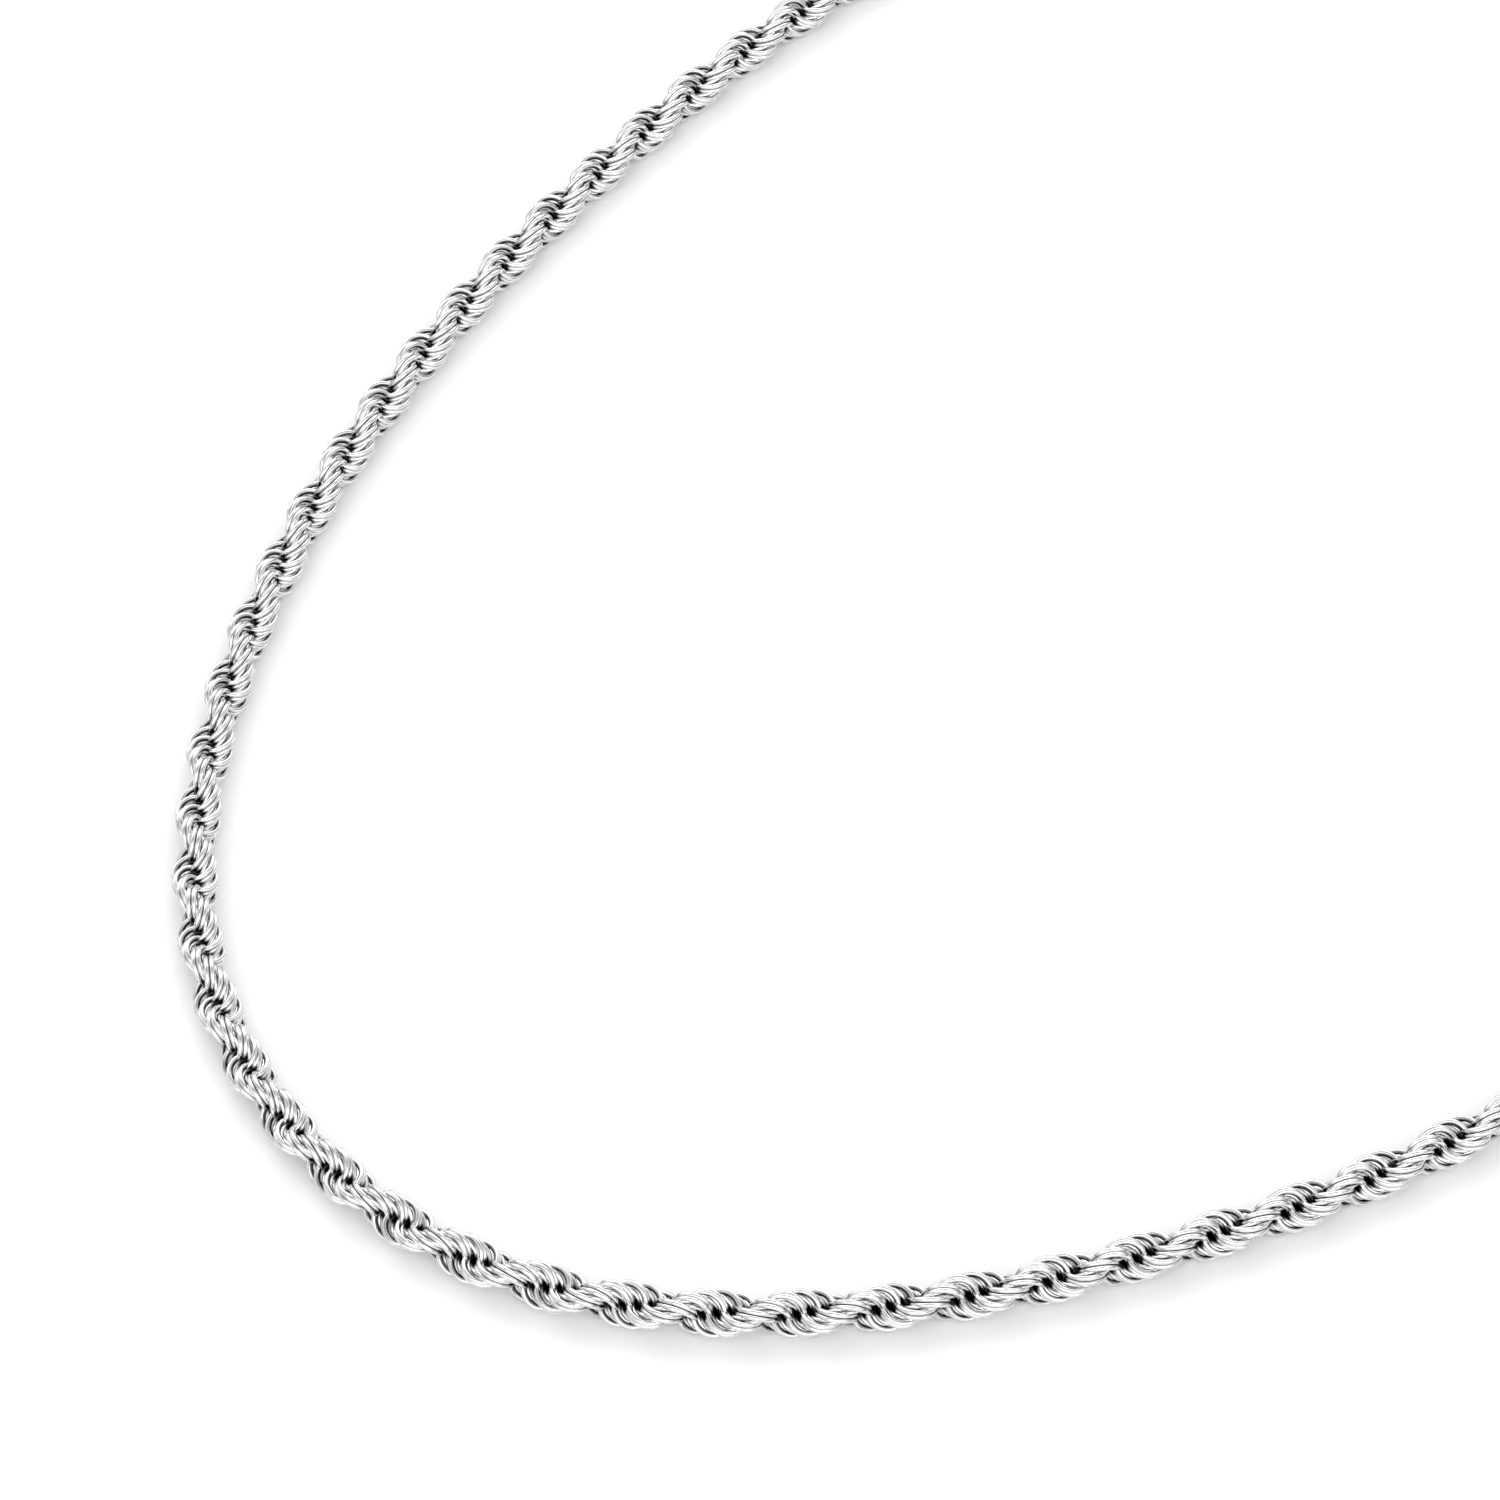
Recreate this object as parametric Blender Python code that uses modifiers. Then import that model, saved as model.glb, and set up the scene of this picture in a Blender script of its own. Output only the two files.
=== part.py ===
"""Rope-chain necklace, unfastened and laid flat.

A left-hand twisted rope of interlinked rings runs round the neck line as a row
of short runs, each one full turn of the twist and each hinged to the next.
The rope ends in two turned end caps. The left cap carries a jump ring and a
lobster clasp, and the right cap carries the ring that the clasp catches.

Metres, +Z up, +Y towards the clasp at the back, -Y towards the front of the
necklace. The lowest surface is at Z = 0.
"""

import math

import bmesh
import bpy
import numpy as np
from mathutils import Matrix, Vector

MM = 0.001

# ---- driving dimensions, millimetres and degrees --------------------------
ROPE_D = 3.0            # widest across the twist
ROPE_D_SHORT = 2.05     # narrowest across the twist
RUNS_PER_ARM = 22       # runs in each arm, beside the one at the front
TWIST_AT_FRONT = 123.9  # angle of the wide side at the front, from the inward normal
BEND_LIMIT = 40.0       # how far one run turns on the next, each way
RUN_SIDES = 8
RUN_STATIONS = 10

CAP_R = 2.1             # end cap
CAP_BORE_R = 1.75
CAP_MOUTH = -3.0        # along the cap, from the end of the rope
CAP_END = 2.2
CAP_EYE_AT = 3.3
CAP_EYE_R = 1.45
CAP_EYE_HOLE_R = 0.8
CAP_EYE_T = 1.0
LIFT_LENGTH = 22.0      # over which the rope climbs to the axis of its cap

JUMP_WIRE_R = 0.36      # ring between the left cap and the clasp
JUMP_R = 2.0
JUMP_LEAN = 58.0
CATCH_WIRE_R = 0.45     # ring that the clasp catches
CATCH_R = 2.55

CLASP_T = 2.8
CLASP_EYE_R = 2.0
CLASP_EYE_HOLE_R = 1.4
CLASP_EYE_T = 0.8
SLOT_Z = (0.6, 2.2)
LEVER_Z = (1.25, 2.1)
LEVER_PIVOT = (4.3, 1.3)
PIN_R = 0.42
PIN_HOLE_R = 0.5
SPRING_WIRE_R = 0.11
SPRING_R = 0.74
SPRING_TURNS = 2.0

# Route of the rope's centre line in plan, clasp end first, from a point on the
# floor below the middle of the front run.
ROUTE = [
    (-26.0, 193.0), (-39.1, 186.8), (-49.2, 176.4), (-55.5, 163.3),
    (-58.1, 148.9), (-58.3, 134.4), (-57.5, 119.8), (-56.7, 105.2),
    (-56.3, 90.6), (-55.2, 76.1), (-52.5, 61.8), (-48.4, 47.8),
    (-42.9, 34.2), (-35.7, 21.6), (-26.1, 10.6), (-13.8, 2.8),
    (0.4, 0.0), (14.5, 3.0), (26.2, 11.5), (34.3, 23.6),
    (39.7, 37.1), (43.4, 51.1), (45.2, 65.5), (45.6, 80.1),
    (45.6, 94.6), (45.6, 109.2), (45.8, 123.7), (45.7, 138.2),
    (44.6, 152.7), (41.6, 166.9), (35.4, 180.1), (25.3, 190.5),
    (12.0, 196.0),
]
ORIGIN = (-6.289, 100.15)   # middle of the whole necklace in plan, in route axes

COLLECTION = "chain_necklace"

# Control outlines of the clasp in plan: X from its eye towards the tip.
BODY_OUTLINE = [
    (1.45, -1.0), (3.0, -2.6), (5.5, -3.1), (8.0, -3.3), (10.6, -2.9),
    (12.3, -1.2), (12.4, 0.9), (11.6, 2.5), (10.9, 2.95), (10.05, 2.95),
    (10.1, 1.65), (10.8, 1.2), (11.0, -0.1), (10.2, -1.5), (8.2, -2.05),
    (6.3, -1.7), (5.75, -0.6), (5.75, 0.6), (5.6, 1.9), (5.2, 2.6),
    (3.8, 2.75), (2.2, 2.1), (1.45, 1.0),
]
LEVER_OUTLINE = [
    (3.35, 1.3), (3.5, 0.5), (4.3, 0.3), (5.2, 0.45), (6.5, 1.2), (8.3, 1.75),
    (9.75, 1.85), (9.75, 2.75), (8.6, 2.95), (7.35, 3.05), (7.2, 4.15),
    (6.3, 4.2), (6.05, 3.1), (5.3, 2.7), (4.4, 2.35), (3.5, 2.15),
]
SLOT_OUTLINE = [
    (2.9, 4.0), (2.9, 0.9), (3.3, 0.0), (4.3, -0.25), (5.2, -0.6), (6.4, -0.9),
    (6.4, 4.0),
]


# ---- the route ------------------------------------------------------------
def natural_spline(knots, values):
    """Second derivatives of the natural cubic spline through the values."""
    n = len(knots)
    step = np.diff(knots)
    system = np.eye(n)
    right = np.zeros((n, values.shape[1]))
    for i in range(1, n - 1):
        system[i, i - 1] = step[i - 1]
        system[i, i] = 2 * (step[i - 1] + step[i])
        system[i, i + 1] = step[i]
        right[i] = 6 * (
            (values[i + 1] - values[i]) / step[i]
            - (values[i] - values[i - 1]) / step[i - 1]
        )
    return np.linalg.solve(system, right)


def read_route(points, samples=12001):
    """Dense points of the smooth curve through the route, with arc length
    counted from its middle."""
    values = np.array(points, float)
    knots = np.concatenate(
        [[0], np.cumsum(np.linalg.norm(np.diff(values, axis=0), axis=1))]
    )
    second = natural_spline(knots, values)
    t = np.linspace(0, knots[-1], samples)
    i = np.clip(np.searchsorted(knots, t, side="right") - 1, 0, len(knots) - 2)
    h = (knots[i + 1] - knots[i])[:, None]
    a = (knots[i + 1] - t)[:, None] / h
    b = (t - knots[i])[:, None] / h
    curve = (
        a * values[i]
        + b * values[i + 1]
        + ((a**3 - a) * second[i] + (b**3 - b) * second[i + 1]) * h**2 / 6
    )
    arc = np.concatenate(
        [[0], np.cumsum(np.linalg.norm(np.diff(curve, axis=0), axis=1))]
    )
    return curve, arc - arc[-1] / 2


CURVE, ARC = read_route(ROUTE)
ROPE_LENGTH = ARC[-1] - ARC[0]
RUN_LENGTH = ROPE_LENGTH / (2 * RUNS_PER_ARM + 1)


def height(s):
    """The rope lies on the floor and climbs gently to its end caps."""
    t = min(max((abs(s) - (ROPE_LENGTH / 2 - LIFT_LENGTH)) / LIFT_LENGTH, 0), 1)
    return ROPE_D / 2 + (CAP_R - ROPE_D / 2) * t * t * (3 - 2 * t)


def point(s):
    x = np.interp(s, ARC, CURVE[:, 0]) - ORIGIN[0]
    y = np.interp(s, ARC, CURVE[:, 1]) - ORIGIN[1]
    return Vector((x, y, height(s)))


def heading(s):
    """Direction of the rope in plan, from the clasp end to the catch end."""
    step = 0.05
    a = min(max(s - step, ARC[0]), ARC[-1] - 2 * step)
    d = point(a + 2 * step) - point(a)
    return Vector((d.x, d.y, 0)).normalized()


def twist(s):
    """Angle of the rope's wide side from the inward normal: left-hand."""
    return math.radians(TWIST_AT_FRONT) - 2 * math.pi * s / RUN_LENGTH


# ---- helpers --------------------------------------------------------------
def clear_scene():
    for obj in list(bpy.data.objects):
        bpy.data.objects.remove(obj, do_unlink=True)
    for block in (bpy.data.meshes, bpy.data.curves, bpy.data.materials):
        for item in list(block):
            block.remove(item)


def new_collection(name, hidden=False):
    found = bpy.data.collections.new(name)
    bpy.context.scene.collection.children.link(found)
    found.hide_render = hidden
    return found


def steel(name, colour, roughness):
    material = bpy.data.materials.new(name)
    material.use_nodes = True
    shader = material.node_tree.nodes["Principled BSDF"]
    shader.inputs["Base Color"].default_value = (*colour, 1)
    shader.inputs["Metallic"].default_value = 1.0
    shader.inputs["Roughness"].default_value = roughness
    return material


def empty(name, matrix, parent=None):
    obj = bpy.data.objects.new(name, None)
    obj.empty_display_size = 2 * MM
    PARTS.objects.link(obj)
    WORLD[obj.name] = matrix.copy()
    obj.parent = parent
    obj.matrix_local = (
        WORLD[parent.name].inverted() @ matrix if parent else matrix.copy()
    )
    return obj


def place(obj, parent, matrix, collection=None):
    """Links the object and gives it this world matrix under its parent."""
    for old in list(obj.users_collection):
        old.objects.unlink(obj)
    (collection or PARTS).objects.link(obj)
    obj.parent = parent
    obj.matrix_local = WORLD[parent.name].inverted() @ matrix
    return obj


def helper(obj):
    obj.hide_render = True
    obj.display_type = "WIRE"
    return obj


def smooth(obj, degrees=35):
    obj.data.shade_smooth()
    obj.data.set_sharp_from_angle(angle=math.radians(degrees))


def cut_corners(points, rounds=1):
    """A closed outline with its corners cut at a quarter of each side."""
    found = [Vector(p) for p in points]
    for _ in range(rounds):
        following = found[1:] + found[:1]
        found = [
            p for a, b in zip(found, following) for p in (a.lerp(b, 0.25), a.lerp(b, 0.75))
        ]
    return found


def plate(name, outline, low, high):
    """A flat outline, in millimetres, extruded from one height to another."""
    data = bpy.data.curves.new(name + "_outline", "CURVE")
    data.dimensions = "2D"
    data.fill_mode = "BOTH"
    data.extrude = (high - low) / 2 * MM
    spline = data.splines.new("POLY")
    spline.points.add(len(outline) - 1)
    for p, (x, y) in zip(spline.points, outline):
        p.co = (x * MM, y * MM, 0, 1)
    spline.use_cyclic_u = True
    curve = bpy.data.objects.new(name + "_outline", data)
    bpy.context.scene.collection.objects.link(curve)
    bpy.context.view_layer.update()
    mesh = bpy.data.meshes.new_from_object(
        curve.evaluated_get(bpy.context.evaluated_depsgraph_get())
    )
    bpy.data.objects.remove(curve, do_unlink=True)
    mesh.transform(Matrix.Translation((0, 0, (low + high) / 2 * MM)))
    weld(mesh)
    mesh.name = name
    return bpy.data.objects.new(name, mesh)


def weld(mesh):
    work = bmesh.new()
    work.from_mesh(mesh)
    bmesh.ops.remove_doubles(work, verts=work.verts, dist=0.001 * MM)
    bmesh.ops.recalc_face_normals(work, faces=work.faces)
    work.to_mesh(mesh)
    work.free()


def cylinder(name, radius, low, high, sides=16):
    """A cylinder primitive along Z, in millimetres."""
    bpy.ops.mesh.primitive_cylinder_add(
        vertices=sides,
        radius=radius * MM,
        depth=(high - low) * MM,
        location=(0, 0, 0),
    )
    obj = bpy.context.object
    obj.name = name
    obj.data.name = name
    obj.data.transform(Matrix.Translation((0, 0, (low + high) / 2 * MM)))
    return obj


def torus(name, radius, wire_r, sides=20, round_sides=8):
    bpy.ops.mesh.primitive_torus_add(
        major_segments=sides,
        minor_segments=round_sides,
        major_radius=radius * MM,
        minor_radius=wire_r * MM,
        location=(0, 0, 0),
    )
    obj = bpy.context.object
    obj.name = name
    obj.data.name = name
    return obj


def boolean(obj, other, operation):
    modifier = obj.modifiers.new(operation.lower() + "_" + other.name, "BOOLEAN")
    modifier.operation = operation
    modifier.solver = "EXACT"
    modifier.object = other
    helper(other)


def axes(x, y, z, at):
    """World matrix with these axes at this point, in millimetres."""
    found = Matrix.Identity(4)
    for column, axis in enumerate((x, y, z)):
        for row in range(3):
            found[row][column] = axis[row]
    found.translation = Vector(at) * MM
    return found


# ---- rope runs ------------------------------------------------------------
def run_profile():
    """Cross-section of the rope: wide one way, narrow the other."""
    data = bpy.data.curves.new("rope_section", "CURVE")
    data.dimensions = "2D"
    data.fill_mode = "NONE"
    spline = data.splines.new("POLY")
    spline.points.add(RUN_SIDES - 1)
    for i, p in enumerate(spline.points):
        a = -2 * math.pi * i / RUN_SIDES
        p.co = (
            ROPE_D / 2 * MM * math.cos(a),
            ROPE_D_SHORT / 2 * MM * math.sin(a),
            0,
            1,
        )
    spline.use_cyclic_u = True
    obj = bpy.data.objects.new("rope_section", data)
    CUTTERS.objects.link(obj)
    return helper(obj)


def rope_run(name, middle, pivot, parent, section):
    """One full turn of the rope, with coned ends that leave room to bend."""
    lean = math.tan(math.radians(BEND_LIMIT / 2 + 1.5))
    half = RUN_LENGTH / 2
    tip = 0.35
    start = 0.12 + ROPE_D / 2 * lean
    nose = 0.12 + tip * ROPE_D / 2 * lean
    stations = [(-half + nose, tip)]
    for s in np.linspace(-half + start, half - start, RUN_STATIONS):
        stations.append((float(s), 1.0))
    stations.append((half - nose, tip))
    data = bpy.data.curves.new(name, "CURVE")
    data.dimensions = "3D"
    data.twist_mode = "Z_UP"
    data.bevel_mode = "OBJECT"
    data.bevel_object = section
    data.use_fill_caps = True
    spline = data.splines.new("POLY")
    spline.points.add(len(stations) - 1)
    for p, (s, scale) in zip(spline.points, stations):
        at = (point(middle + s) - pivot) * MM
        p.co = (*at, 1)
        p.radius = scale
        p.tilt = twist(middle + s)
    spline.use_smooth = True
    obj = bpy.data.objects.new(name, data)
    data.materials.append(ROPE_STEEL)
    return place(obj, parent, Matrix.Translation(pivot * MM))


# ---- end caps and rings ---------------------------------------------------
def end_cap(name, end, along, hole_axis, parent):
    """A turned cap with a bore for the rope and an eye on its closed end."""
    mesh = bpy.data.meshes.new(name)
    profile = [
        (0, CAP_END), (1.25, CAP_END), (CAP_R - 0.15, CAP_END - 0.6),
        (CAP_R, CAP_END - 1.1), (CAP_R, CAP_MOUTH + 0.35),
        (CAP_R - 0.15, CAP_MOUTH), (CAP_BORE_R, CAP_MOUTH),
        (CAP_BORE_R, 0.7), (0, 0.7),
    ]
    mesh.from_pydata(
        [(r * MM, 0, z * MM) for r, z in profile],
        [(i, i + 1) for i in range(len(profile) - 1)],
        [],
    )
    cap = bpy.data.objects.new(name, mesh)
    world = axes(hole_axis, along.cross(hole_axis), along, end)
    place(cap, parent, world)
    screw = cap.modifiers.new("turned", "SCREW")
    screw.axis = "Z"
    screw.angle = 2 * math.pi
    screw.screw_offset = 0
    screw.steps = 16
    screw.render_steps = 16
    screw.use_merge_vertices = True
    screw.merge_threshold = 0.00001
    screw.use_smooth_shade = True
    turn = Matrix.Rotation(math.pi / 2, 4, "Y")
    eye = cylinder(name + "_eye", CAP_EYE_R, -CAP_EYE_T / 2, CAP_EYE_T / 2, 20)
    hole = cylinder(name + "_hole", CAP_EYE_HOLE_R, -1.5, 1.5, 16)
    for tool in (eye, hole):
        tool.data.transform(turn)
        tool.data.transform(Matrix.Translation((0, 0, CAP_EYE_AT * MM)))
        place(tool, parent, world, CUTTERS)
    boolean(cap, eye, "UNION")
    boolean(cap, hole, "DIFFERENCE")
    mesh.materials.append(CAP_STEEL)
    return cap


# ---- build ----------------------------------------------------------------
def build():
    section = run_profile()
    up = Vector((0, 0, 1))

    front = point(0)
    root = empty("pivot_front", Matrix.Translation(front * MM))
    rope_run("chain_front", 0.0, front, root, section)

    ends = {}
    for side, sign in (("left", -1), ("right", 1)):
        parent = root
        for k in range(1, RUNS_PER_ARM + 1):
            s = sign * (k - 0.5) * RUN_LENGTH
            pivot = point(s)
            name = f"chain_{side}_{k:02d}"
            parent = empty("pivot_" + name, Matrix.Translation(pivot * MM), parent)
            rope_run(name, sign * k * RUN_LENGTH, pivot, parent, section)
        s = sign * ROPE_LENGTH / 2
        ends[side] = (point(s), heading(s) * sign, parent)

    # Left end: cap, leaning jump ring, clasp lying flat.
    end, along, parent = ends["left"]
    across = up.cross(along)
    lean = math.radians(JUMP_LEAN)
    ring_axis = across * math.cos(lean) + up * math.sin(lean)
    end_cap("left_end_cap", end, along, ring_axis, parent)
    eye = end + along * CAP_EYE_AT
    jump = empty("pivot_clasp_jump_ring", Matrix.Translation(eye * MM), parent)
    ring = torus("clasp_jump_ring", JUMP_R, JUMP_WIRE_R)
    middle = eye + along * JUMP_R
    place(ring, jump, axes(along, ring_axis, along.cross(ring_axis), middle))
    ring.data.materials.append(RING_STEEL)

    drop = math.asin((CAP_R - CLASP_T / 2) / (JUMP_R * math.sin(lean)))
    seat = middle + JUMP_R * (along * math.cos(drop) - ring_axis * math.sin(drop))
    flat = axes(along, across, up, (seat.x, seat.y, 0))
    clasp = empty("pivot_clasp_body", flat, jump)
    build_clasp(clasp, flat)

    # Right end: cap and the catch ring, whose far side rests on the floor.
    end, along, parent = ends["right"]
    across = up.cross(along)
    end_cap("right_end_cap", end, along, across, parent)
    eye = end + along * CAP_EYE_AT
    pitch = math.asin((CAP_R - CATCH_WIRE_R) / (2 * CATCH_R))
    down = along * math.cos(pitch) - up * math.sin(pitch)
    catch = empty("pivot_catch_ring", Matrix.Translation(eye * MM), parent)
    ring = torus("catch_ring", CATCH_R, CATCH_WIRE_R, 24)
    place(ring, catch, axes(down, across, down.cross(across), eye + down * CATCH_R))
    ring.data.materials.append(RING_STEEL)


def build_clasp(parent, flat):
    body = plate("clasp_body", cut_corners(BODY_OUTLINE), 0, CLASP_T)
    place(body, parent, flat)
    mid = CLASP_T / 2
    eye = cylinder("clasp_eye", CLASP_EYE_R, mid - CLASP_EYE_T / 2, mid + CLASP_EYE_T / 2, 24)
    hole = cylinder("clasp_eye_hole", CLASP_EYE_HOLE_R, -1, CLASP_T + 1, 20)
    slot = plate("clasp_slot", SLOT_OUTLINE, *SLOT_Z)
    pin_hole = cylinder("clasp_pin_hole", PIN_HOLE_R, -1, CLASP_T + 1, 16)
    at_pivot = Matrix.Translation((LEVER_PIVOT[0] * MM, LEVER_PIVOT[1] * MM, 0))
    pin_hole.data.transform(at_pivot)
    for tool in (eye, hole, slot, pin_hole):
        place(tool, parent, flat, CUTTERS)
    boolean(body, eye, "UNION")
    boolean(body, hole, "DIFFERENCE")
    boolean(body, slot, "DIFFERENCE")
    boolean(body, pin_hole, "DIFFERENCE")
    body.data.materials.append(CLASP_STEEL)

    pin = cylinder("clasp_pivot_pin", PIN_R, 0.05, CLASP_T - 0.05, 12)
    place(pin, parent, flat @ at_pivot)
    pin.data.materials.append(RING_STEEL)

    spring = bpy.data.curves.new("clasp_spring", "CURVE")
    spring.dimensions = "3D"
    spring.bevel_depth = SPRING_WIRE_R * MM
    spring.bevel_resolution = 1
    spring.use_fill_caps = True
    low, high = SLOT_Z[0] + SPRING_WIRE_R + 0.03, LEVER_Z[0] - SPRING_WIRE_R - 0.05
    count = int(SPRING_TURNS * 10)
    coil = [
        (
            SPRING_R * math.cos(2 * math.pi * SPRING_TURNS * i / count),
            SPRING_R * math.sin(2 * math.pi * SPRING_TURNS * i / count),
            low + (high - low) * i / count,
        )
        for i in range(count + 1)
    ]
    line = spring.splines.new("POLY")
    line.points.add(len(coil) - 1)
    for p, co in zip(line.points, coil):
        p.co = (co[0] * MM, co[1] * MM, co[2] * MM, 1)
    line.use_smooth = True
    spring.materials.append(SPRING_STEEL)
    place(bpy.data.objects.new("clasp_spring", spring), parent, flat @ at_pivot)

    turn = empty("pivot_clasp_lever", flat @ at_pivot, parent)
    lever = plate("clasp_lever", cut_corners(LEVER_OUTLINE), *LEVER_Z)
    bore = cylinder("lever_bore", PIN_HOLE_R, 0, CLASP_T, 16)
    bore.data.transform(at_pivot)
    place(lever, turn, flat)
    place(bore, turn, flat, CUTTERS)
    boolean(lever, bore, "DIFFERENCE")
    lever.data.materials.append(CLASP_STEEL)


clear_scene()
WORLD = {}
PARTS = new_collection(COLLECTION)
CUTTERS = new_collection("cutters", hidden=True)
ROPE_STEEL = steel("rope_steel", (0.80, 0.80, 0.80), 0.16)
CAP_STEEL = steel("cap_steel", (0.80, 0.80, 0.80), 0.14)
RING_STEEL = steel("ring_steel", (0.80, 0.80, 0.80), 0.12)
CLASP_STEEL = steel("clasp_steel", (0.78, 0.78, 0.78), 0.16)
SPRING_STEEL = steel("spring_steel", (0.60, 0.60, 0.60), 0.3)
build()
for made in PARTS.objects:
    if made.type == "MESH":
        smooth(made)
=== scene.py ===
"""The looks of the rope-chain necklace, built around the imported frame."""
import math

import bmesh
import bpy
import numpy as np
from mathutils import Matrix, Vector


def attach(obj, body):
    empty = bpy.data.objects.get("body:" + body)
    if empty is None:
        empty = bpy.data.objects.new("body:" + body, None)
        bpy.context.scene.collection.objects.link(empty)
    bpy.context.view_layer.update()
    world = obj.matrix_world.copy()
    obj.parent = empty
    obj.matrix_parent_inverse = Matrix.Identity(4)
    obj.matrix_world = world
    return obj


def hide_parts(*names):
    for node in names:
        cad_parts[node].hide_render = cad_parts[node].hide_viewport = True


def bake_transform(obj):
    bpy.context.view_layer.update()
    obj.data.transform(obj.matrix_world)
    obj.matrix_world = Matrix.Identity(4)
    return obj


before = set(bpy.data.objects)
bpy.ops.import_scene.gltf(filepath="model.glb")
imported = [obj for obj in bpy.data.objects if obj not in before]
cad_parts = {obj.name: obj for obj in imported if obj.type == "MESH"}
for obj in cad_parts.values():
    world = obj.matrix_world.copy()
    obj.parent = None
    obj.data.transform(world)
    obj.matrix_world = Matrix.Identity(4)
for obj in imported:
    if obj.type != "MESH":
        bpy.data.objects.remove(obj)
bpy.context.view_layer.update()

MM = 0.001

# ---- the rope's route, as in the CAD, millimetres ---------------------------
ROPE_D = 3.0
CAP_R = 2.1
RUNS_PER_ARM = 22
LIFT_LENGTH = 22.0
TWIST_AT_FRONT = 123.9
ROUTE = [
    (-26.0, 193.0), (-39.1, 186.8), (-49.2, 176.4), (-55.5, 163.3),
    (-58.1, 148.9), (-58.3, 134.4), (-57.5, 119.8), (-56.7, 105.2),
    (-56.3, 90.6), (-55.2, 76.1), (-52.5, 61.8), (-48.4, 47.8),
    (-42.9, 34.2), (-35.7, 21.6), (-26.1, 10.6), (-13.8, 2.8),
    (0.4, 0.0), (14.5, 3.0), (26.2, 11.5), (34.3, 23.6),
    (39.7, 37.1), (43.4, 51.1), (45.2, 65.5), (45.6, 80.1),
    (45.6, 94.6), (45.6, 109.2), (45.8, 123.7), (45.7, 138.2),
    (44.6, 152.7), (41.6, 166.9), (35.4, 180.1), (25.3, 190.5),
    (12.0, 196.0),
]
ORIGIN = (-6.289, 100.15)


def natural_spline(knots, values):
    n = len(knots)
    step = np.diff(knots)
    system = np.eye(n)
    right = np.zeros((n, values.shape[1]))
    for i in range(1, n - 1):
        system[i, i - 1] = step[i - 1]
        system[i, i] = 2 * (step[i - 1] + step[i])
        system[i, i + 1] = step[i]
        right[i] = 6 * (
            (values[i + 1] - values[i]) / step[i]
            - (values[i] - values[i - 1]) / step[i - 1]
        )
    return np.linalg.solve(system, right)


def read_route(points, samples=12001):
    values = np.array(points, float)
    knots = np.concatenate(
        [[0], np.cumsum(np.linalg.norm(np.diff(values, axis=0), axis=1))]
    )
    second = natural_spline(knots, values)
    t = np.linspace(0, knots[-1], samples)
    i = np.clip(np.searchsorted(knots, t, side="right") - 1, 0, len(knots) - 2)
    h = (knots[i + 1] - knots[i])[:, None]
    a = (knots[i + 1] - t)[:, None] / h
    b = (t - knots[i])[:, None] / h
    curve = (
        a * values[i]
        + b * values[i + 1]
        + ((a**3 - a) * second[i] + (b**3 - b) * second[i + 1]) * h**2 / 6
    )
    arc = np.concatenate(
        [[0], np.cumsum(np.linalg.norm(np.diff(curve, axis=0), axis=1))]
    )
    return curve - np.array(ORIGIN), arc - arc[-1] / 2


CURVE, ARC = read_route(ROUTE)
ROPE_LENGTH = ARC[-1] - ARC[0]
RUN_LENGTH = ROPE_LENGTH / (2 * RUNS_PER_ARM + 1)


def height(s):
    t = np.clip((np.abs(s) - (ROPE_LENGTH / 2 - LIFT_LENGTH)) / LIFT_LENGTH, 0, 1)
    return ROPE_D / 2 + (CAP_R - ROPE_D / 2) * t * t * (3 - 2 * t)


def point(s):
    s = np.asarray(s, float)
    x = np.interp(s, ARC, CURVE[:, 0])
    y = np.interp(s, ARC, CURVE[:, 1])
    # straight on past the ends
    for end, sign in ((ARC[0], -1), (ARC[-1], 1)):
        over = np.maximum(sign * (s - end), 0)
        a, b = (CURVE[0], CURVE[40]) if sign < 0 else (CURVE[-41], CURVE[-1])
        d = (b - a) / np.linalg.norm(b - a) * sign
        x = x + over * d[0]
        y = y + over * d[1]
    return np.stack([x, y, height(s)], -1)


def frame_at(s):
    """Tangent, inward normal and upward normal of the rope."""
    t = point(s + 0.05) - point(s - 0.05)
    t = t / np.linalg.norm(t, axis=-1, keepdims=True)
    up = np.zeros_like(t)
    up[..., 2] = 1
    n = np.cross(up, t)
    n = n / np.linalg.norm(n, axis=-1, keepdims=True)
    z = np.cross(t, n)
    return t, n, z


def twist(s):
    return np.radians(TWIST_AT_FRONT) - 2 * np.pi * s / RUN_LENGTH


def heading(s):
    """Direction of the rope in plan."""
    step = 0.05
    a = min(max(s - step, ARC[0]), ARC[-1] - 2 * step)
    d = point(a + 2 * step) - point(a)
    return Vector((d[0], d[1], 0)).normalized()


# ---- meshes -----------------------------------------------------------------
COLLECTION = bpy.context.scene.collection


def mesh_object(name, vertices, faces, material, smooth=True):
    """A mesh from arrays of vertices, in millimetres, and quads."""
    mesh = bpy.data.meshes.new(name)
    n, f = len(vertices), len(faces)
    mesh.vertices.add(n)
    mesh.vertices.foreach_set("co", (np.asarray(vertices) * MM).astype(np.float32).ravel())
    mesh.loops.add(f * 4)
    mesh.loops.foreach_set("vertex_index", np.asarray(faces, np.int32).ravel())
    mesh.polygons.add(f)
    mesh.polygons.foreach_set("loop_start", np.arange(0, f * 4, 4, dtype=np.int32))
    mesh.update(calc_edges=True)
    mesh.validate()
    if smooth:
        mesh.shade_smooth()
    mesh.materials.append(material)
    obj = bpy.data.objects.new(name, mesh)
    COLLECTION.objects.link(obj)
    return obj


def ring_faces(count, around, across):
    """Quads of many closed rings, each around x across vertices, facing out."""
    i = np.arange(count * around * across).reshape(count, around, across)
    return np.stack(
        [i, np.roll(i, -1, 1), np.roll(np.roll(i, -1, 1), -1, 2), np.roll(i, -1, 2)], -1
    ).reshape(-1, 4)


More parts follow.
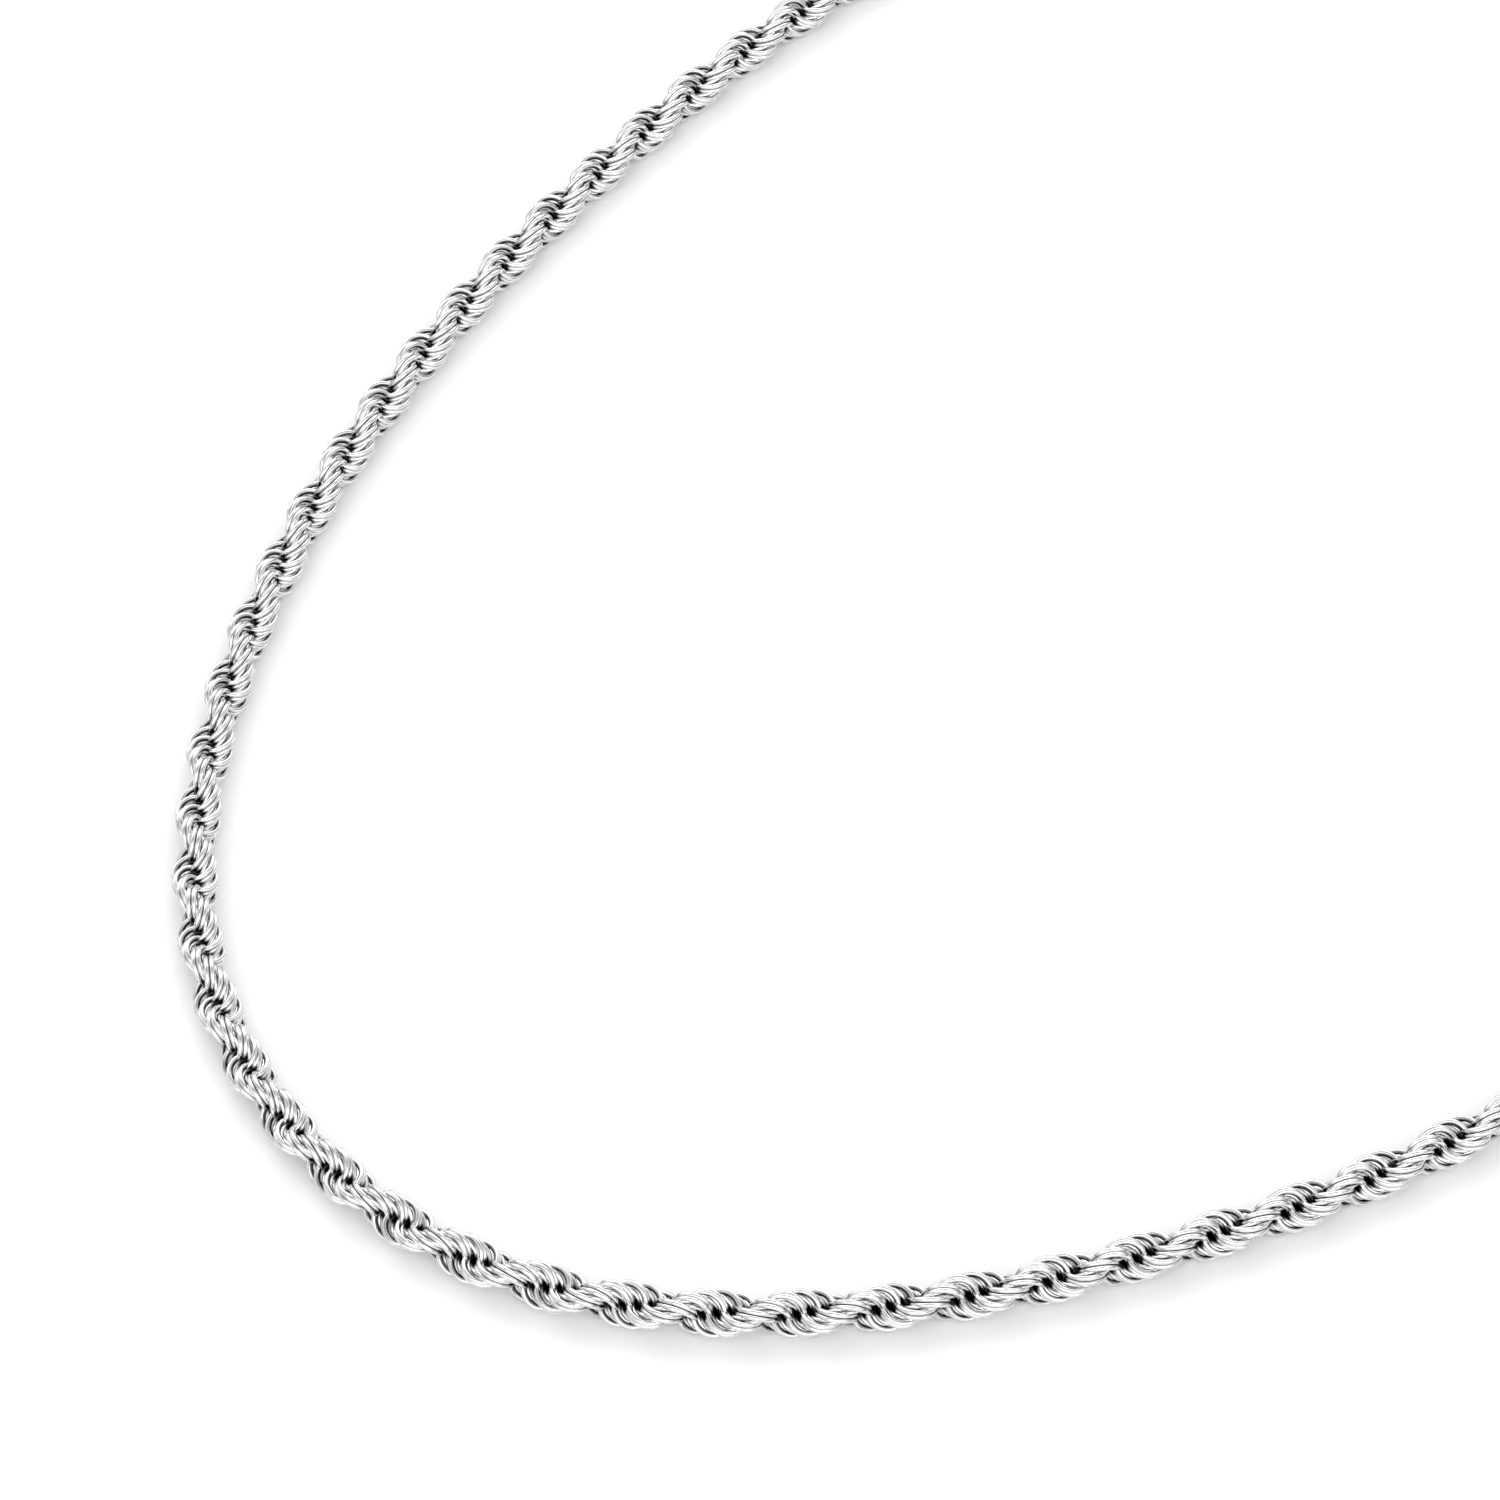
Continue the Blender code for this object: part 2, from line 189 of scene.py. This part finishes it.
def axes(x, y, z, at):
    """World matrix with these axes at this point, in millimetres."""
    found = Matrix.Identity(4)
    for column, axis in enumerate((x, y, z)):
        for row in range(3):
            found[row][column] = axis[row]
    found.translation = Vector(at) * MM
    return found


def seated(obj, matrix):
    """Moves a mesh made about the origin to its place, keeping the object at
    that place so that patterns follow it."""
    obj.matrix_world = matrix
    return obj


def applied(obj):
    """The object with its modifiers made part of its mesh."""
    bpy.context.view_layer.update()
    made = bpy.data.meshes.new_from_object(
        obj.evaluated_get(bpy.context.evaluated_depsgraph_get())
    )
    old = obj.data
    obj.modifiers.clear()
    obj.data = made
    bpy.data.meshes.remove(old)
    return obj


def merge(obj, other, operation):
    modifier = obj.modifiers.new(operation.lower(), "BOOLEAN")
    modifier.operation = operation
    modifier.solver = "EXACT"
    modifier.object = other
    applied(obj)
    bpy.data.objects.remove(other, do_unlink=True)
    return obj


def finish_edges(obj, degrees=38):
    obj.data.shade_smooth()
    obj.data.set_sharp_from_angle(angle=math.radians(degrees))
    return obj


def wire_ring(name, radius, wire_r, material, stretch=1.0, seam=None, around=72, across=16):
    """A closed wire ring about Z. A seam is the soldered cut of a jump ring."""
    a = np.arange(around) * 2 * np.pi / around
    if seam is not None:
        # more stations close to the seam
        a = a - 0.82 * np.sin(a) * np.exp(-((np.abs(np.angle(np.exp(1j * a)))) / 0.9) ** 2)
        a = np.sort(np.mod(a, 2 * np.pi))
    b = np.arange(across) * 2 * np.pi / across
    r = np.full(around, wire_r)
    if seam is not None:
        away = np.abs(np.angle(np.exp(1j * a)))
        r = r * (1 - 0.14 * np.exp(-((away * radius / 0.07) ** 2)))
        a = a + seam
    rad = radius + r[:, None] * np.cos(b)[None, :]
    v = np.stack(
        [
            np.cos(a)[:, None] * rad,
            np.sin(a)[:, None] * rad,
            stretch * r[:, None] * np.sin(b)[None, :],
        ],
        -1,
    )
    return mesh_object(name, v.reshape(-1, 3), ring_faces(1, around, across), material)


def turned(name, profile, material, sides=72):
    """A solid of revolution about Z through an open profile whose ends lie on
    the axis."""
    work = bmesh.new()
    rows = []
    for r, z in profile:
        if r < 1e-6:
            rows.append([work.verts.new((0, 0, z * MM))])
        else:
            rows.append([
                work.verts.new((
                    r * MM * math.cos(2 * math.pi * i / sides),
                    r * MM * math.sin(2 * math.pi * i / sides),
                    z * MM,
                ))
                for i in range(sides)
            ])
    for low, high in zip(rows, rows[1:]):
        for i in range(sides):
            j = (i + 1) % sides
            if len(low) == 1:
                work.faces.new((low[0], high[i], high[j]))
            elif len(high) == 1:
                work.faces.new((low[i], high[0], low[j]))
            else:
                work.faces.new((low[i], high[i], high[j], low[j]))
    bmesh.ops.recalc_face_normals(work, faces=work.faces)
    mesh = bpy.data.meshes.new(name)
    work.to_mesh(mesh)
    work.free()
    mesh.materials.append(material)
    obj = bpy.data.objects.new(name, mesh)
    COLLECTION.objects.link(obj)
    return obj


def cut_corners(points, rounds=1):
    found = [Vector(p) for p in points]
    for _ in range(rounds):
        following = found[1:] + found[:1]
        found = [
            p for a, b in zip(found, following) for p in (a.lerp(b, 0.25), a.lerp(b, 0.75))
        ]
    return found


def rounded_plate(name, outline, low, high, edge, material):
    """A flat outline extruded from one height to another with rounded edges."""
    data = bpy.data.curves.new(name + "_outline", "CURVE")
    data.dimensions = "2D"
    data.fill_mode = "BOTH"
    data.extrude = ((high - low) / 2 - edge) * MM
    if edge > 0:
        data.bevel_depth = edge * MM
        data.bevel_resolution = 4
        data.offset = -edge * MM
    spline = data.splines.new("POLY")
    spline.points.add(len(outline) - 1)
    for p, (x, y) in zip(spline.points, outline):
        p.co = (x * MM, y * MM, 0, 1)
    spline.use_cyclic_u = True
    curve = bpy.data.objects.new(name + "_outline", data)
    COLLECTION.objects.link(curve)
    bpy.context.view_layer.update()
    mesh = bpy.data.meshes.new_from_object(
        curve.evaluated_get(bpy.context.evaluated_depsgraph_get())
    )
    bpy.data.objects.remove(curve, do_unlink=True)
    mesh.transform(Matrix.Translation((0, 0, (low + high) / 2 * MM)))
    work = bmesh.new()
    work.from_mesh(mesh)
    bmesh.ops.remove_doubles(work, verts=work.verts, dist=0.002 * MM)
    bmesh.ops.recalc_face_normals(work, faces=work.faces)
    work.to_mesh(mesh)
    work.free()
    mesh.materials.clear()
    mesh.materials.append(material)
    obj = bpy.data.objects.new(name, mesh)
    COLLECTION.objects.link(obj)
    return obj


def rod(name, radius, low, high, material, sides=48, dome=0.0):
    """A round rod along Z with softened ends."""
    soft = min(0.08, radius * 0.3)
    profile = [(0, high + dome), (radius * 0.5, high + dome * 0.75), (radius - soft, high),
               (radius, high - soft), (radius, low + soft), (radius - soft, low),
               (radius * 0.5, low - dome * 0.75), (0, low - dome)]
    return turned(name, profile, material, sides)


# ---- materials --------------------------------------------------------------
def metal(name, dark, light, rough, grain, bump, painted_recess_shade=False):
    """Polished steel: faint cloudy variation in colour and polish, fine
    hairlines, and painted shade in the recesses where asked for: the base colour darkened where shade falls."""
    material = bpy.data.materials.new(name)
    material.use_nodes = True
    tree = material.node_tree
    shader = tree.nodes["Principled BSDF"]
    shader.inputs["Metallic"].default_value = 1.0
    where = tree.nodes.new("ShaderNodeTexCoord")

    cloud = tree.nodes.new("ShaderNodeTexNoise")
    cloud.inputs["Scale"].default_value = grain
    cloud.inputs["Detail"].default_value = 3.0
    tree.links.new(where.outputs["Object"], cloud.inputs["Vector"])
    tone = tree.nodes.new("ShaderNodeValToRGB")
    tone.color_ramp.elements[0].position = 0.35
    tone.color_ramp.elements[0].color = (*dark, 1)
    tone.color_ramp.elements[1].position = 0.65
    tone.color_ramp.elements[1].color = (*light, 1)
    tree.links.new(cloud.outputs["Fac"], tone.inputs["Fac"])

    polish = tree.nodes.new("ShaderNodeMapRange")
    polish.inputs["From Min"].default_value = 0.3
    polish.inputs["From Max"].default_value = 0.7
    polish.inputs["To Min"].default_value = rough[0]
    polish.inputs["To Max"].default_value = rough[1]

    lines = tree.nodes.new("ShaderNodeMapping")
    lines.inputs["Scale"].default_value = (1.0, 9.0, 1.6)
    lines.inputs["Rotation"].default_value = (0.3, 0.2, 0.7)
    tree.links.new(where.outputs["Object"], lines.inputs["Vector"])
    hair = tree.nodes.new("ShaderNodeTexNoise")
    hair.inputs["Scale"].default_value = grain * 3
    hair.inputs["Detail"].default_value = 6.0
    hair.inputs["Roughness"].default_value = 0.7
    tree.links.new(lines.outputs["Vector"], hair.inputs["Vector"])
    tree.links.new(hair.outputs["Fac"], polish.inputs["Value"])
    tree.links.new(polish.outputs["Result"], shader.inputs["Roughness"])

    raised = tree.nodes.new("ShaderNodeBump")
    raised.inputs["Strength"].default_value = bump
    raised.inputs["Distance"].default_value = 0.00002
    tree.links.new(hair.outputs["Fac"], raised.inputs["Height"])
    tree.links.new(raised.outputs["Normal"], shader.inputs["Normal"])

    # painted shade: the base colour multiplied down towards near black in the crevices where shade falls, by a
    # value kept per vertex
    if painted_recess_shade:
        deep_shade = tree.nodes.new("ShaderNodeAttribute")
        deep_shade.attribute_name = "painted_recess_shade"
        shade = tree.nodes.new("ShaderNodeValToRGB")
        ramp = shade.color_ramp.elements
        ramp[0].position = 0.0
        ramp[0].color = (1, 1, 1, 1)
        ramp[1].position = 1.0
        # near black: the colour of the painted shade at its deepest
        ramp[1].color = (0.04, 0.04, 0.042, 1)
        tree.links.new(deep_shade.outputs["Fac"], shade.inputs["Fac"])
        both = tree.nodes.new("ShaderNodeMix")
        both.data_type = "RGBA"
        both.blend_type = "MULTIPLY"
        both.inputs["Factor"].default_value = 1.0
        tree.links.new(tone.outputs["Color"], both.inputs["A"])
        tree.links.new(shade.outputs["Color"], both.inputs["B"])
        tree.links.new(both.outputs["Result"], shader.inputs["Base Color"])
    else:
        tree.links.new(tone.outputs["Color"], shader.inputs["Base Color"])
    return material


# the rope's steel carries painted shade in its crevices
ROPE_STEEL = metal("rope_steel", (0.70, 0.703, 0.71), (0.83, 0.833, 0.838), (0.07, 0.17), 2600, 0.10, painted_recess_shade=True)
CAP_STEEL = metal("cap_steel", (0.50, 0.503, 0.51), (0.56, 0.563, 0.568), (0.10, 0.22), 1500, 0.12)
RING_STEEL = metal("ring_steel", (0.51, 0.513, 0.52), (0.57, 0.573, 0.578), (0.08, 0.18), 1900, 0.10)
CLASP_STEEL = metal("clasp_steel", (0.48, 0.483, 0.49), (0.53, 0.533, 0.538), (0.11, 0.24), 1300, 0.14)
SPRING_STEEL = metal("spring_steel", (0.40, 0.40, 0.41), (0.55, 0.55, 0.56), (0.22, 0.38), 2400, 0.12)

# ---- the rope's links -------------------------------------------------------
LINKS_PER_RUN = 24
WIRE_D = 0.33
# The wires of one link: radius of the ring, and its place across the link.
WIRES = [(1.21, -0.165), (1.21, 0.165), (0.92, 0.0)]
LINK_OUT = 0.12         # middle of a link from the rope's axis
LINK_TILT = 80.0
AROUND, ACROSS = 32, 8
BLEND_HALF = 3.6

# Shifts fitted to the photo, which the CAD route lacks. Along the rope: sideways and round, millimetres.
WANDER_AT = np.array([-140, -125, -105, -95, -85, -75, -65, -55, -45, -35, -25, -15, -5,
                      5, 15, 25, 35, 45, 55, 65, 75, 95, 110], float)
WANDER = np.array([
    (0, 0), (0, 0), (-0.12, -0.34), (-0.05, -0.19), (-0.07, 0.06), (-0.12, 0.35),
    (-0.10, 0.63), (0.01, 0.71), (0.17, 0.50), (0.19, 0.16), (-0.03, -0.09),
    (-0.33, -0.18), (-0.42, -0.20), (-0.33, -0.24), (-0.17, -0.26), (0.16, -0.21),
    (0.35, -0.10), (0.16, 0.05), (0.02, 0.17), (-0.09, 0.24), (-0.05, 0.19),
    (0, 0), (0, 0),
])
WANDER_BEND = natural_spline(WANDER_AT, WANDER)


def wander(s):
    """(sideways, round) shifts of the rope at s, smoothly, none at its ends."""
    q = np.clip(s, WANDER_AT[0], WANDER_AT[-1] - 1e-6)
    i = np.clip(np.searchsorted(WANDER_AT, q, side="right") - 1, 0, len(WANDER_AT) - 2)
    h = (WANDER_AT[i + 1] - WANDER_AT[i])[:, None]
    a = (WANDER_AT[i + 1] - q)[:, None] / h
    b = (q - WANDER_AT[i])[:, None] / h
    found = (
        a * WANDER[i] + b * WANDER[i + 1]
        + ((a**3 - a) * WANDER_BEND[i] + (b**3 - b) * WANDER_BEND[i + 1]) * h**2 / 6
    )
    return found[:, 0], found[:, 1]


def link_template():
    """One link about its own middle: places (u, v, face) and the painted shade,
    which darkens the colour where a wire touches its neighbours and on the side facing the ring's middle, where
    shade falls."""
    a = np.arange(AROUND) * 2 * np.pi / AROUND
    b = np.arange(ACROSS) * 2 * np.pi / ACROSS
    r = WIRE_D / 2
    places, link_shade = [], []
    for radius, at in WIRES:
        rad = radius + r * np.cos(b)
        face = at + r * np.sin(b)
        near = np.full(ACROSS, 9.0)
        for other, where in WIRES:
            if (other, where) != (radius, at):
                near = np.minimum(near, np.hypot(rad - other, face - where))
        # painted shade where a wire touches its neighbours, and on the side of the wire that faces the ring's
        # middle
        meeting_shade = np.clip((0.225 - near) / 0.06, 0, 1)
        inner_side_shade = np.clip((-0.5 - np.cos(b)) / 0.4, 0, 1)
        places.append(np.stack([
            np.cos(a)[:, None] * rad[None, :],
            np.sin(a)[:, None] * rad[None, :],
            np.tile(face, (AROUND, 1)),
        ], -1))
        link_shade.append(np.tile(np.maximum(0.6 * meeting_shade, inner_side_shade), (AROUND, 1)))
    return np.array(places).reshape(-1, 3), np.array(link_shade).ravel()


LINK, LINK_SHADE = link_template()


def rope_links(name, first, last):
    """Links with indices from first up to last."""
    i = np.arange(first, last)
    s = i * (RUN_LENGTH / LINKS_PER_RUN)
    aside, turned_by = wander(s)
    t, n, z = frame_at(s)
    c = point(s) + n * aside[:, None]
    turn = twist(s + turned_by) + np.pi * (i % 2)
    # some of the small unevenness of a made rope
    own = np.sin(i * 12.9898) * 43758.5453
    own = own - np.floor(own) - 0.5
    turn = turn + np.radians(3.0) * own
    out = n * np.cos(turn)[:, None] + z * np.sin(turn)[:, None]
    side = np.cross(t, out)
    tilt = np.radians(LINK_TILT + 4.0 * np.roll(own, 1))
    w0 = np.cross(out, side)
    v = side * np.cos(tilt)[:, None] + w0 * np.sin(tilt)[:, None]
    face = np.cross(out, v)
    middle = c + out * LINK_OUT
    p = middle[:, None, :] + np.einsum(
        "pk,nkx->npx", LINK, np.stack([out, v, face], 1)
    )
    obj = mesh_object(
        name, p.reshape(-1, 3), ring_faces(len(i) * len(WIRES), AROUND, ACROSS), ROPE_STEEL
    )
    # painted shade per vertex, read by the rope's material to darken its base colour
    attribute = obj.data.attributes.new("painted_recess_shade", "FLOAT", "POINT")
    # and painted shade deep between the strands, near the rope's axis
    q = p - c[:, None, :]
    q = q - np.einsum("npx,nx->np", q, t)[:, :, None] * t[:, None, :]
    deep_shade = np.clip((0.62 - np.linalg.norm(q, axis=2)) / 0.2, 0, 1)
    value = np.maximum(np.tile(LINK_SHADE, (len(i), 1)), deep_shade)
    attribute.data.foreach_set("value", value.ravel().astype(np.float32))
    return obj


for side, sign in (("left", -1), ("right", 1)):
    for k in range(1, RUNS_PER_ARM + 1):
        near, far = (k - 1) * LINKS_PER_RUN, k * LINKS_PER_RUN
        first, last = (near, far) if sign > 0 else (-far, -near)
        rings = rope_links(f"rings_{side}_{k:02d}", first, last)
        at = sign * (k - 0.5) * RUN_LENGTH
        start, end = (point(at + sign * q) * MM for q in (-BLEND_HALF, BLEND_HALF))
        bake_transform(rings)
        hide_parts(f"chain_{side}_{k:02d}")
        if k == 1 and side == "left":
            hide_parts("chain_front")
    near = RUNS_PER_ARM * LINKS_PER_RUN
    far = near + LINKS_PER_RUN // 2
    first, last = (near, far) if sign > 0 else (-far, -near)
    rings = rope_links(f"rings_{side}_end", first, last)
    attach(rings, f"chain_{side}_{RUNS_PER_ARM:02d}")

# ---- end caps and rings -----------------------------------------------------
CAP_PROFILE = [
    (0, 2.30), (0.45, 2.28), (0.9, 2.18), (1.3, 1.98), (1.62, 1.70), (1.86, 1.36),
    (2.02, 1.02), (2.08, 0.80), (2.10, 0.60), (2.10, 0.30),
    (2.08, 0.25), (2.00, 0.20), (1.97, 0.12), (2.00, 0.04), (2.08, -0.01), (2.10, -0.06),
    (2.10, -0.34), (2.08, -0.39), (2.00, -0.44), (1.97, -0.52), (2.00, -0.60),
    (2.08, -0.65), (2.10, -0.70), (2.10, -2.20),
    (2.08, -2.26), (1.99, -2.31), (1.97, -2.37), (1.99, -2.43), (2.08, -2.48),
    (2.10, -2.54), (2.10, -2.80), (2.07, -2.90), (1.99, -2.97), (1.90, -3.00),
    (1.82, -2.98), (1.77, -2.92), (1.75, -2.82), (1.75, 0.45), (1.68, 0.62),
    (1.50, 0.70), (0, 0.70),
]
CAP_EYE_AT = 3.3


def end_cap(name, node, end, along, hole_axis, body):
    world = axes(hole_axis, along.cross(hole_axis), along, end)
    cap = turned(name, CAP_PROFILE, CAP_STEEL)
    eye = wire_ring(name + "_eye", 1.125, 0.325, CAP_STEEL, stretch=1.5, around=48, across=14)
    eye.data.transform(Matrix.Rotation(math.pi / 2, 4, "Y"))
    eye.data.transform(Matrix.Translation((0, 0, CAP_EYE_AT * MM)))
    merge(cap, eye, "UNION")
    finish_edges(cap, 50)
    seated(cap, world)
    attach(cap, body)
    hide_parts(node)
    return cap


UP = Vector((0, 0, 1))
JUMP_WIRE_R, JUMP_R, JUMP_LEAN = 0.36, 2.0, 58.0
CATCH_WIRE_R, CATCH_R = 0.45, 2.55
CLASP_T = 2.8

end = Vector(point(-ROPE_LENGTH / 2))
along = -heading(-ROPE_LENGTH / 2)
across = UP.cross(along)
lean = math.radians(JUMP_LEAN)
ring_axis = across * math.cos(lean) + UP * math.sin(lean)
end_cap("cap_left", "left_end_cap", end, along, ring_axis, "chain_left_22")
middle = end + along * (CAP_EYE_AT + JUMP_R)
jump = wire_ring("jump_ring", JUMP_R, JUMP_WIRE_R, RING_STEEL, seam=math.radians(70), around=96)
seated(jump, axes(along, ring_axis, along.cross(ring_axis), middle))
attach(jump, "clasp_jump_ring")
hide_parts("clasp_jump_ring")

drop = math.asin((CAP_R - CLASP_T / 2) / (JUMP_R * math.sin(lean)))
seat = middle + JUMP_R * (along * math.cos(drop) - ring_axis * math.sin(drop))
CLASP = axes(along, across, UP, (seat.x, seat.y, 0))

end = Vector(point(ROPE_LENGTH / 2))
along = heading(ROPE_LENGTH / 2)
across = UP.cross(along)
end_cap("cap_right", "right_end_cap", end, along, across, "chain_right_22")
pitch = math.asin((CAP_R - CATCH_WIRE_R) / (2 * CATCH_R))
down = along * math.cos(pitch) - UP * math.sin(pitch)
catch = wire_ring("ring_to_catch", CATCH_R, CATCH_WIRE_R, RING_STEEL, seam=math.radians(115), around=108, across=18)
seated(catch, axes(down, across, down.cross(across), end + along * CAP_EYE_AT + down * CATCH_R))
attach(catch, "catch_ring")
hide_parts("catch_ring")

# ---- lobster clasp ----------------------------------------------------------
BODY_OUTLINE = [
    (1.45, -1.0), (3.0, -2.6), (5.5, -3.1), (8.0, -3.3), (10.6, -2.9),
    (12.3, -1.2), (12.4, 0.9), (11.6, 2.5), (10.9, 2.95), (10.05, 2.95),
    (10.1, 1.65), (10.8, 1.2), (11.0, -0.1), (10.2, -1.5), (8.2, -2.05),
    (6.3, -1.7), (5.75, -0.6), (5.75, 0.6), (5.6, 1.9), (5.2, 2.6),
    (3.8, 2.75), (2.2, 2.1), (1.45, 1.0),
]
LEVER_OUTLINE = [
    (3.35, 1.3), (3.5, 0.5), (4.3, 0.3), (5.2, 0.45), (6.5, 1.2), (8.3, 1.75),
    (9.75, 1.85), (9.75, 2.75), (8.6, 2.95), (7.35, 3.05), (7.2, 4.15),
    (6.3, 4.2), (6.05, 3.1), (5.3, 2.7), (4.4, 2.35), (3.5, 2.15),
]
SLOT_OUTLINE = [
    (2.9, 4.0), (2.9, 0.9), (3.3, 0.0), (4.3, -0.25), (5.2, -0.6), (6.4, -0.9),
    (6.4, 4.0),
]
SLOT_Z = (0.6, 2.2)
LEVER_Z = (1.25, 2.1)
LEVER_PIVOT = Matrix.Translation((4.3 * MM, 1.3 * MM, 0))
PIN_R, PIN_HOLE_R = 0.42, 0.5
MID = CLASP_T / 2

body = rounded_plate("clasp_shell", cut_corners(BODY_OUTLINE, 3), 0, CLASP_T, 0.5, CLASP_STEEL)
eye = wire_ring("eye", 1.7, 0.30, CLASP_STEEL, stretch=1.33, around=64, across=16)
eye.data.transform(Matrix.Translation((0, 0, MID * MM)))
merge(body, eye, "UNION")
merge(body, rod("hole", 1.4, -1, 4, CLASP_STEEL, 64), "DIFFERENCE")
merge(body, rounded_plate("slot", cut_corners(SLOT_OUTLINE, 2), *SLOT_Z, 0.0, CLASP_STEEL), "DIFFERENCE")
hole = rod("pin_hole", PIN_HOLE_R, -1, 4, CLASP_STEEL, 40)
hole.data.transform(LEVER_PIVOT)
merge(body, hole, "DIFFERENCE")
finish_edges(body)
seated(body, CLASP)
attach(body, "clasp_body")
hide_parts("clasp_body")

lever = rounded_plate("clasp_thumb_lever", cut_corners(LEVER_OUTLINE, 3), *LEVER_Z, 0.16, CLASP_STEEL)
hole = rod("lever_bore", PIN_HOLE_R, 0, 3, CLASP_STEEL, 40)
hole.data.transform(LEVER_PIVOT)
merge(lever, hole, "DIFFERENCE")
finish_edges(lever)
seated(lever, CLASP)
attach(lever, "clasp_lever")
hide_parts("clasp_lever")

pin = rod("clasp_rivet", PIN_R, 0.09, CLASP_T - 0.09, RING_STEEL, 40, dome=0.05)
finish_edges(pin, 50)
seated(pin, CLASP @ LEVER_PIVOT)
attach(pin, "clasp_body")
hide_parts("clasp_pivot_pin")

turns, radius, wire = 2.0, 0.74, 0.11
low, high = SLOT_Z[0] + wire + 0.03, LEVER_Z[0] - wire - 0.05
count, sides = 72, 10
a = 2 * np.pi * turns * np.arange(count + 1) / count
centre = np.stack([radius * np.cos(a), radius * np.sin(a), low + (high - low) * np.arange(count + 1) / count], -1)
out = np.stack([np.cos(a), np.sin(a), 0 * a], -1)
tangent = np.gradient(centre, axis=0)
tangent /= np.linalg.norm(tangent, axis=1, keepdims=True)
other = np.cross(tangent, out)
b = np.arange(sides) * 2 * np.pi / sides
tube = centre[:, None, :] + wire * (
    np.cos(b)[None, :, None] * out[:, None, :] + np.sin(b)[None, :, None] * other[:, None, :]
)
mesh = bpy.data.meshes.new("clasp_coil")
work = bmesh.new()
rows = [[work.verts.new(Vector(p) * MM) for p in row] for row in tube]
for one, two in zip(rows, rows[1:]):
    for i in range(sides):
        j = (i + 1) % sides
        work.faces.new((one[i], one[j], two[j], two[i]))
work.faces.new(rows[0])
work.faces.new(rows[-1][::-1])
bmesh.ops.recalc_face_normals(work, faces=work.faces)
work.to_mesh(mesh)
work.free()
mesh.materials.append(SPRING_STEEL)
spring = bpy.data.objects.new("clasp_coil", mesh)
COLLECTION.objects.link(spring)
finish_edges(spring, 60)
seated(spring, CLASP @ LEVER_PIVOT)
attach(spring, "clasp_body")
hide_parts("clasp_spring")

# ---- floor, light, camera ---------------------------------------------------
bpy.ops.mesh.primitive_plane_add(size=6, location=(0, 0, -0.00002))
floor = bpy.context.object
floor.name = "floor"
paper = bpy.data.materials.new("floor_paper")
paper.use_nodes = True
paper.node_tree.nodes["Principled BSDF"].inputs["Base Color"].default_value = (0.97, 0.97, 0.97, 1)
paper.node_tree.nodes["Principled BSDF"].inputs["Roughness"].default_value = 0.9
paper.node_tree.nodes["Principled BSDF"].inputs["Specular IOR Level"].default_value = 0.1
floor.data.materials.append(paper)

world = bpy.data.worlds.new("studio")
bpy.context.scene.world = world
world.use_nodes = True
tree = world.node_tree
sky = tree.nodes["Background"]
where = tree.nodes.new("ShaderNodeTexCoord")
split = tree.nodes.new("ShaderNodeSeparateXYZ")
ramp = tree.nodes.new("ShaderNodeValToRGB")
tree.links.new(where.outputs["Generated"], split.inputs[0])
tree.links.new(split.outputs["Z"], ramp.inputs[0])
# and a little darker on two sides, as beside soft lamps
azimuth = tree.nodes.new("ShaderNodeMath")
azimuth.operation = "ARCTAN2"
tree.links.new(split.outputs["Y"], azimuth.inputs[0])
tree.links.new(split.outputs["X"], azimuth.inputs[1])
twice = tree.nodes.new("ShaderNodeMath")
twice.operation = "MULTIPLY_ADD"
twice.inputs[1].default_value = 2.0
twice.inputs[2].default_value = math.radians(-2 * 150)
tree.links.new(azimuth.outputs[0], twice.inputs[0])
lobes = tree.nodes.new("ShaderNodeMath")
lobes.operation = "COSINE"
tree.links.new(twice.outputs[0], lobes.inputs[0])
level = tree.nodes.new("ShaderNodeMapRange")
level.inputs["From Min"].default_value = -0.7
level.inputs["From Max"].default_value = 0.3
level.inputs["To Min"].default_value = 0.45
level.inputs["To Max"].default_value = 1.0
level.interpolation_type = "SMOOTHSTEP"
tree.links.new(lobes.outputs[0], level.inputs["Value"])
both = tree.nodes.new("ShaderNodeMix")
both.data_type = "RGBA"
both.blend_type = "MULTIPLY"
both.inputs["Factor"].default_value = 1.0
tree.links.new(ramp.outputs[0], both.inputs["A"])
tree.links.new(level.outputs[0], both.inputs["B"])
tree.links.new(both.outputs["Result"], sky.inputs[0])
# darker at the horizon and straight above, with a broad soft band between
e = ramp.color_ramp.elements
e[0].position, e[0].color = 0.04, (0.16, 0.16, 0.165, 1)
e[1].position, e[1].color = 0.52, (1, 1, 1, 1)
for at, level in ((0.80, 1.0), (0.90, 0.42), (1.0, 0.30)):
    e.new(at).color = (level, level, level, 1)
ramp.color_ramp.interpolation = "EASE"
sky.inputs[1].default_value = 2.25

scene = bpy.context.scene
scene.view_settings.view_transform = "Standard"
scene.view_settings.look = "None"

plane = np.array([0.01750242, 0.63203143, 0.77474508])
e1 = np.array([0.99974492, 0, -0.02258543])
e2 = np.array([0.0142747, -0.77494275, 0.63187021])
turn = math.radians(39.5)
x = math.cos(turn - math.pi / 2) * e1 + math.sin(turn - math.pi / 2) * e2
y = math.cos(turn) * e1 + math.sin(turn) * e2
z = -plane
right = Vector((x[0], y[0], z[0]))
below = Vector((x[1], y[1], z[1]))
ahead = Vector((x[2], y[2], z[2]))
lens = bpy.data.cameras.new("camera")
camera = bpy.data.objects.new("camera", lens)
COLLECTION.objects.link(camera)
camera.matrix_world = axes(right, -below, -ahead, (221.613, -230.789, 344.55))
lens.sensor_width = 36
lens.lens = 7004.931 / 1500 * 36
lens.clip_start = 0.01
scene.camera = camera
